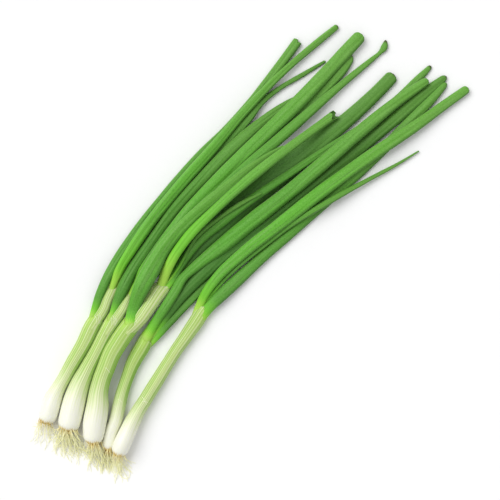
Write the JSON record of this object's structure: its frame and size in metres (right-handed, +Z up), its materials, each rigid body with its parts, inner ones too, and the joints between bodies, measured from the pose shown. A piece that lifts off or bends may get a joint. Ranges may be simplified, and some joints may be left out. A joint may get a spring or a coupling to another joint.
{
  "type": "spring onion bunch",
  "caption": "Loose bunch of fresh spring onions lying flat: pale bulbs with root tufts, pale green shafts and long tubular green leaves fanned to one side.",
  "frame": {"origin": "centre of the bounding box at the surface that the bunch lies on", "axes": "+X along the bunch from the root tufts to the leaf tips, +Z up, +Y to the left when looking along +X from above"},
  "size_m": [0.4402, 0.1372, 0.0256],
  "materials": {
    "stalk": "moist smooth skin, white at the bulb turning pale green with fine lengthwise veins",
    "leaf": "smooth leaf skin with fine lengthwise veins and a soft waxy sheen",
    "roots": "thin dry straw-coloured root strands, brown where they leave the bulb"
  },
  "bodies": {
    "root": {"onion_1_stalk": "stalk", "onion_2_stalk": "stalk", "onion_3_stalk": "stalk", "onion_4_stalk": "stalk", "onion_5_stalk": "stalk", "onion_1_roots": "roots", "onion_2_roots": "roots", "onion_3_roots": "roots", "onion_4_roots": "roots", "onion_5_roots": "roots", "onion_1_leaf_1": "leaf", "onion_1_leaf_2": "leaf", "onion_1_leaf_3": "leaf", "onion_2_leaf_1": "leaf", "onion_2_leaf_2": "leaf", "onion_2_leaf_3": "leaf", "onion_2_leaf_4": "leaf", "onion_3_leaf_1": "leaf", "onion_3_leaf_2": "leaf", "onion_3_leaf_3": "leaf", "onion_3_leaf_4": "leaf", "onion_3_leaf_5": "leaf", "onion_4_leaf_1": "leaf", "onion_4_leaf_2": "leaf", "onion_4_leaf_3": "leaf", "onion_5_leaf_1": "leaf", "onion_5_leaf_2": "leaf", "onion_5_leaf_3": "leaf"}
  },
  "joints": []
}
